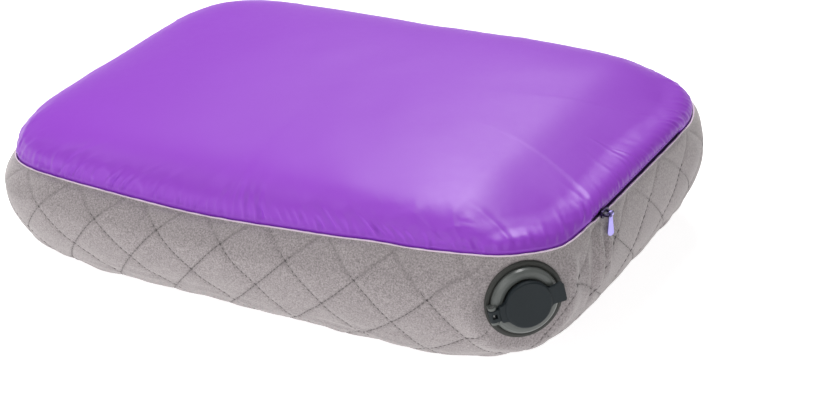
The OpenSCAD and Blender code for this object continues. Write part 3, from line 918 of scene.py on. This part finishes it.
def srgb(red, green, blue):
    def linear(value):
        value /= 255
        return value / 12.92 if value <= 0.04045 else ((value + 0.055) / 1.055) ** 2.4
    return linear(red), linear(green), linear(blue), 1.0


# ---- Materials ----------------------------------------------------------------------


def nylon():
    mat, tree, shader = new_material("nylon")
    coords = object_coords(tree)
    cloud = noise(tree, coords, 14, 3)
    thread = noise(tree, coords, 2600, 3, 0.7)
    crinkle = noise(tree, coords, 170, 5, 0.6)
    tone = mix(tree, cloud, srgb(146, 63, 199), srgb(151, 69, 205))
    # Painted shade: darker purple towards the seam, where the nylon tucks down into it.
    tone = tinted(tree, tone, painted(tree, "seam_shade"), 0.38, srgb(104, 36, 152))
    tone = tinted(tree, tone, thread, 0.1, srgb(170, 99, 218))
    tree.links.new(tone, shader.inputs["Base Color"])
    tree.links.new(spread(tree, crinkle, 0.12, 0.36), shader.inputs["Roughness"])
    shader.inputs["Specular IOR Level"].default_value = 0.3
    shader.inputs["Sheen Weight"].default_value = 0.03
    shader.inputs["Sheen Roughness"].default_value = 0.45
    shader.inputs["Sheen Tint"].default_value = (0.85, 0.6, 0.95, 1.0)
    first = bump(tree, shader, crinkle, strength=0.12, distance=0.0006)
    bump(tree, shader, thread, strength=0.1, distance=0.0001, before=first)
    return mat


def microfibre():
    mat, tree, shader = new_material("microfibre")
    coords = object_coords(tree)
    nap = noise(tree, coords, 1100, 3, 0.75)
    patch = noise(tree, coords, 55, 4, 0.6)
    tone = ramp(tree, nap, (0.3, srgb(104, 97, 99)), (0.7, srgb(188, 179, 180)))
    tone = tinted(tree, tone, patch, 0.35, srgb(148, 141, 142))
    # Painted shade: darker grey along the sunk quilting grooves.
    tone = tinted(tree, tone, painted(tree, "groove_shade"), 0.34, srgb(84, 78, 79))
    # Painted highlight and reflection: the turned-in lip is painted pale pink, as if lit from above
    # and reflecting the purple.
    tone = tinted(tree, tone, painted(tree, "lip_highlight"), 0.95, srgb(238, 214, 236))
    tree.links.new(tone, shader.inputs["Base Color"])
    shader.inputs["Roughness"].default_value = 0.92
    shader.inputs["Specular IOR Level"].default_value = 0.25
    shader.inputs["Sheen Weight"].default_value = 0.45
    shader.inputs["Sheen Roughness"].default_value = 0.55
    shader.inputs["Sheen Tint"].default_value = (1.0, 0.96, 0.95, 1.0)
    first = bump(tree, shader, nap, strength=0.35, distance=0.0005)
    bump(tree, shader, patch, strength=0.2, distance=0.0008, before=first)
    return mat


def plastic(name, low, high, rough, grain, strength=0.12, shine=0.5):
    """Moulded plastic or rubber, with a fine grain and slightly uneven gloss."""
    mat, tree, shader = new_material(name)
    coords = object_coords(tree)
    fine = noise(tree, coords, grain, 4, 0.6)
    broad = noise(tree, coords, 70, 3)
    tree.links.new(mix(tree, broad, low, high), shader.inputs["Base Color"])
    tree.links.new(spread(tree, fine, 0.16, rough - 0.08), shader.inputs["Roughness"])
    shader.inputs["Specular IOR Level"].default_value = shine
    bump(tree, shader, fine, strength, distance=0.0002)
    return mat


def metal(name, low, high, rough):
    """Painted or plain metal, brushed along its height."""
    mat, tree, shader = new_material(name)
    coords = object_coords(tree)
    stretch = tree.nodes.new("ShaderNodeMapping")
    stretch.inputs["Scale"].default_value = (1.0, 1.0, 0.08)
    tree.links.new(coords, stretch.inputs["Vector"])
    brushed = noise(tree, stretch.outputs[0], 1800, 3)
    wear = noise(tree, coords, 320, 4)
    tree.links.new(mix(tree, wear, low, high), shader.inputs["Base Color"])
    tree.links.new(spread(tree, brushed, 0.2, rough - 0.1), shader.inputs["Roughness"])
    shader.inputs["Metallic"].default_value = 0.85
    bump(tree, shader, brushed, strength=0.08, distance=0.0001)
    return mat


def cloth(name, low, high, weave, rough=0.85):
    """Plain cloth or film with a ribbed bump, whose scale is weave, and a little fuzz."""
    mat, tree, shader = new_material(name)
    coords = object_coords(tree)
    ribs = []
    for axis in ("X", "Y", "Z"):
        wave = tree.nodes.new("ShaderNodeTexWave")
        wave.inputs["Scale"].default_value = weave
        wave.inputs["Distortion"].default_value = 1.2
        wave.bands_direction = axis
        tree.links.new(coords, wave.inputs["Vector"])
        ribs.append(wave.outputs["Fac"])
    cross = math_node(tree, "MULTIPLY", math_node(tree, "ADD", ribs[0], ribs[1]), ribs[2])
    fuzz = noise(tree, coords, 600, 4, 0.7)
    tone = tinted(tree, low, math_node(tree, "ADD", cross, fuzz), 0.5, high)
    tree.links.new(tone, shader.inputs["Base Color"])
    shader.inputs["Roughness"].default_value = rough
    shader.inputs["Sheen Weight"].default_value = 0.25
    bump(tree, shader, cross, strength=0.3, distance=0.0002)
    return mat


def give(obj, mat):
    obj.data.materials.clear()
    obj.data.materials.append(mat)


def paint_node(name, mat):
    obj = nodes[name]
    for slot in obj.material_slots:
        slot.material = mat
    if not obj.material_slots:
        obj.data.materials.append(mat)


nylon_mat, fibre_mat = nylon(), microfibre()
thread_mat = cloth("quilt_thread", srgb(76, 71, 72), srgb(108, 102, 102), 63.6)
wadding_mat = cloth("wadding", srgb(214, 213, 208), srgb(240, 240, 236), 11.13)
film_mat = cloth("film", srgb(186, 190, 194), srgb(206, 210, 214), 41.34, 0.6)
tape_mat = cloth("zip_tape", srgb(72, 38, 110), srgb(104, 60, 148), 38.16)
coil_mat = plastic("zip_coil", srgb(62, 34, 98), srgb(88, 52, 130), 0.35, 900)
dark_metal = metal("zip_metal", srgb(34, 26, 52), srgb(62, 50, 84), 0.4)
puller_mat = metal("puller", srgb(150, 140, 214), srgb(186, 178, 238), 0.32)
valve_mat = plastic("valve_plastic", srgb(24, 31, 35), srgb(30, 38, 42), 0.5, 1500, shine=0.25)
ring_mat = plastic("valve_ring", srgb(88, 92, 90), srgb(101, 104, 101), 0.32, 1400)
collar_mat = plastic("collar", srgb(38, 39, 36), srgb(50, 51, 47), 0.6, 1100, 0.25)
silicone_mat = plastic("silicone", srgb(190, 192, 188), srgb(204, 206, 200), 0.4, 800)
pin_mat = metal("pin_steel", srgb(150, 150, 150), srgb(180, 180, 180), 0.35)

# ---- Covers -------------------------------------------------------------------------

top, top_inner, sewn = make_top_panel()
give(top, nylon_mat)
lower, grid = make_lower_cover()
give(lower, fibre_mat)
thread = make_stitches(grid)
give(thread, thread_mat)

# ---- Pad, wadding and backing -------------------------------------------------------

RIM_GAP = 9.0         # how far the layers' rims stop short of the seam
pad_grid, from_rim = top_inner
pad_rows = from_rim.mean(0) > RIM_GAP
quilt_rows = grid["from_seam"].mean(0) > RIM_GAP
# The pad's edge stands back from the zip, so that the slider clears it.
beside = smooth((ZIP_HALF + 14 - np.abs(pad_grid[..., 1])) / 12) * (pad_grid[..., 0] > 120)
beside = beside * (1 - smooth((from_rim - RIM_GAP) / 18))
pad_grid = pad_grid + beside[..., None] * np.array([-3.0, 0.0, 2.0])
pad = inner_layer("fill_pad_batting", pad_grid, pad_rows, pole_last=True,
                  depth=1.6, thick=9.0, thin_rim=0.5)
wadding = inner_layer("quilt_wadding_layer", grid["inside"], quilt_rows, pole_last=False,
                      depth=1.5, thick=2.2, hole=24.0)
backing = inner_layer("quilt_backing_layer", grid["inside"], quilt_rows, pole_last=False,
                      depth=4.1, thick=0.4, hole=22.0)
for piece, old in ((pad, "fill_pad"), (wadding, "quilt_wadding"), (backing, "quilt_backing")):
    give(piece, wadding_mat)
    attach(piece, "cushion")
    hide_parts(old)

# ---- Zip's sewing and coils ---------------------------------------------------------

zip_thread = make_seam_stitches("zip_stitching", *sewn, pitch=2.6, length=1.9, radius=0.17)
give(zip_thread, tape_mat)
for old in ("zip_coil_upper", "zip_coil_lower"):
    coil = make_coil(old + "_wound", old)
    give(coil, coil_mat)
    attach(coil, "cushion")
    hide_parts(old)
for piece in (top, lower, thread, zip_thread):
    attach(piece, "cushion")
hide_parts("top_panel")
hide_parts("lower_cover")

# ---- Hardware -----------------------------------------------------------------------

for mat, names in (
        (film_mat, ("core_upper_film", "core_lower_film")),
        (fibre_mat, ("valve_port_binding",)),
        (tape_mat, ("zip_tape_upper", "zip_tape_lower")),
        (dark_metal, ("zip_top_stops", "zip_bottom_stop", "zip_slider")),
        (puller_mat, ("zip_puller",)),
        (collar_mat, ("valve_collar",)),
        (ring_mat, ("valve_body",)),
        (valve_mat, ("valve_guard", "flap_button", "valve_cap")),
        (silicone_mat, ("check_flap", "flap_tail", "cap_seal")),
        (pin_mat, ("cap_hinge_pin",))):
    for name in names:
        paint_node(name, mat)

for width, names in (
        (0.2, ("zip_top_stops", "zip_bottom_stop")),
        (0.25, ("valve_body", "valve_collar", "zip_slider")),
        (0.3, ("valve_cap", "zip_puller"))):
    for name in names:
        rounding = nodes[name].modifiers.new("rounded_edges", "BEVEL")
        rounding.width, rounding.segments = width * MM, 2
        rounding.limit_method, rounding.angle_limit = "ANGLE", math.radians(35)

# ---- Stage, light and camera --------------------------------------------------------

FLOOR_HALF = 6000
floor_mat, _, floor_shader = new_material("floor")
floor_shader.inputs["Base Color"].default_value = (0.6, 0.6, 0.6, 1)
floor_shader.inputs["Roughness"].default_value = 1.0
floor_shader.inputs["Specular IOR Level"].default_value = 0.0
floor_shader.inputs["Emission Color"].default_value = (1.0, 1.0, 1.0, 1)
floor_shader.inputs["Emission Strength"].default_value = 0.8
floor_corners = [(x * FLOOR_HALF, y * FLOOR_HALF, 0) for x, y in ((-1, -1), (1, -1), (1, 1), (-1, 1))]
floor = add_object("floor", floor_corners, [(0, 1, 2, 3)], smooth_shade=False)
give(floor, floor_mat)

scene = bpy.context.scene
world = bpy.data.worlds.new("studio")
scene.world = world
world.use_nodes = True
world.node_tree.nodes["Background"].inputs[0].default_value = (1.0, 1.0, 1.0, 1)
world.node_tree.nodes["Background"].inputs[1].default_value = 0.18
scene.view_settings.view_transform = "Standard"


def area_light(name, place, target, size, power):
    data = bpy.data.lights.new(name, "AREA")
    data.shape = "RECTANGLE"
    data.size, data.size_y = size
    data.energy = power
    obj = bpy.data.objects.new(name, data)
    scene.collection.objects.link(obj)
    obj.location = place
    obj.rotation_mode = "QUATERNION"
    obj.rotation_quaternion = (target - place).to_track_quat("-Z", "Y")


# Each light's place from the cushion's middle and its size in metres, and its watts. The key
# is a long strip, and together with the crest light it draws the crown's bent highlight.
centre = (cad_low + cad_high) / 2
for name, place, size, power in (
        ("key", (-0.64, 1.6, 2.45), (0.5, 2.4), 50),
        ("crest", (-0.68, 1.1, 2.65), (0.5, 0.8), 29),
        ("left", (-0.85, -0.5, 1.0), (0.8, 0.8), 3.5),
        ("front", (0.1, -1.3, 0.7), (1.4, 0.8), 7.5),
        ("right", (1.7, 0.2, 0.8), (1.0, 1.0), 0.5)):
    area_light(name, centre + Vector(place), centre, size, power)

cam_data = bpy.data.cameras.new("camera")
cam_data.lens = 84.93
cam_data.sensor_width = 36
camera = bpy.data.objects.new("camera", cam_data)
scene.collection.objects.link(camera)
azimuth, elevation, roll = math.radians(30.4446), math.radians(27.2871), math.radians(-2.8078)
aim, distance = Vector((0.070187, -0.044977, 0.05042)), 1.13284
back = Vector((math.sin(azimuth) * math.cos(elevation),
               -math.cos(azimuth) * math.cos(elevation),
               math.sin(elevation)))
right = Vector((math.cos(azimuth), math.sin(azimuth), 0))
up = back.cross(right)
turned_right = right * math.cos(roll) + up * math.sin(roll)
turned_up = up * math.cos(roll) - right * math.sin(roll)
turn = Matrix((turned_right, turned_up, back)).transposed().to_4x4()
camera.matrix_world = Matrix.Translation(aim + back * distance) @ turn
scene.camera = camera
